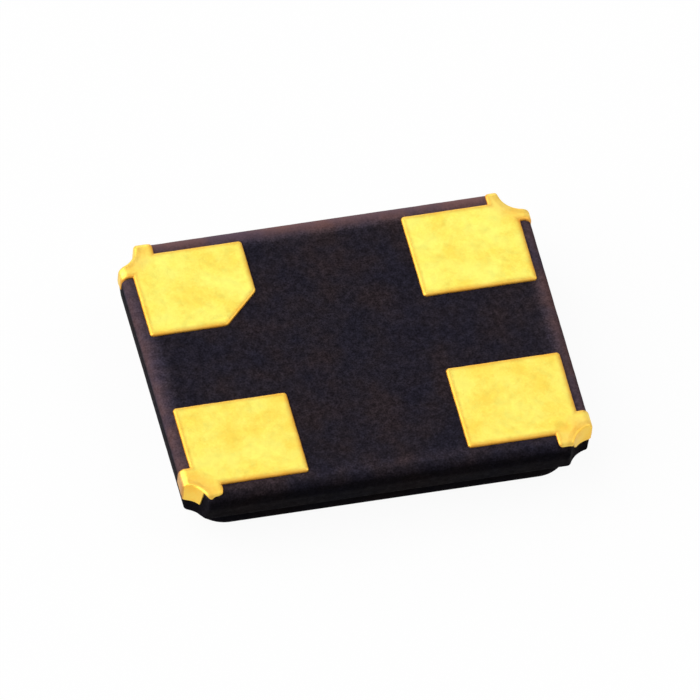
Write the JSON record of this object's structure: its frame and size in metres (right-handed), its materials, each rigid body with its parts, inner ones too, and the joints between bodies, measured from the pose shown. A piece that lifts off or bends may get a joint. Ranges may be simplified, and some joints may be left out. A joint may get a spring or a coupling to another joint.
{
  "type": "crystal oscillator",
  "caption": "Flat black ceramic surface-mount quartz crystal package with gold corner soldering pads, notched corners and a glass-sealed ceramic lid.",
  "frame": {"origin": "centre of the lid's outer face, which is the underside as pictured", "axes": "+X along the long side, +Y along the short side, +Z out of the soldering side; terminal 1 is at -X, +Y"},
  "size_m": [0.0032, 0.0024, 0.0005],
  "materials": {
    "black_ceramic": "matte",
    "gold_plating": "satin",
    "inner_gold": "satin",
    "sealing_glass": "satin",
    "quartz": "polished",
    "silver_film": "satin",
    "silver_adhesive": "matte"
  },
  "bodies": {
    "root": {"ceramic_base": "black_ceramic", "terminal_1": "gold_plating", "terminal_2": "gold_plating", "terminal_3": "gold_plating", "terminal_4": "gold_plating", "inner_lead_1": "inner_gold", "inner_lead_3": "inner_gold", "glass_seal": "sealing_glass", "ceramic_lid": "black_ceramic", "quartz_blank": "quartz", "electrode_floor_side": "silver_film", "electrode_lid_side": "silver_film", "adhesive_dot_1": "silver_adhesive", "adhesive_dot_3": "silver_adhesive"}
  },
  "joints": []
}
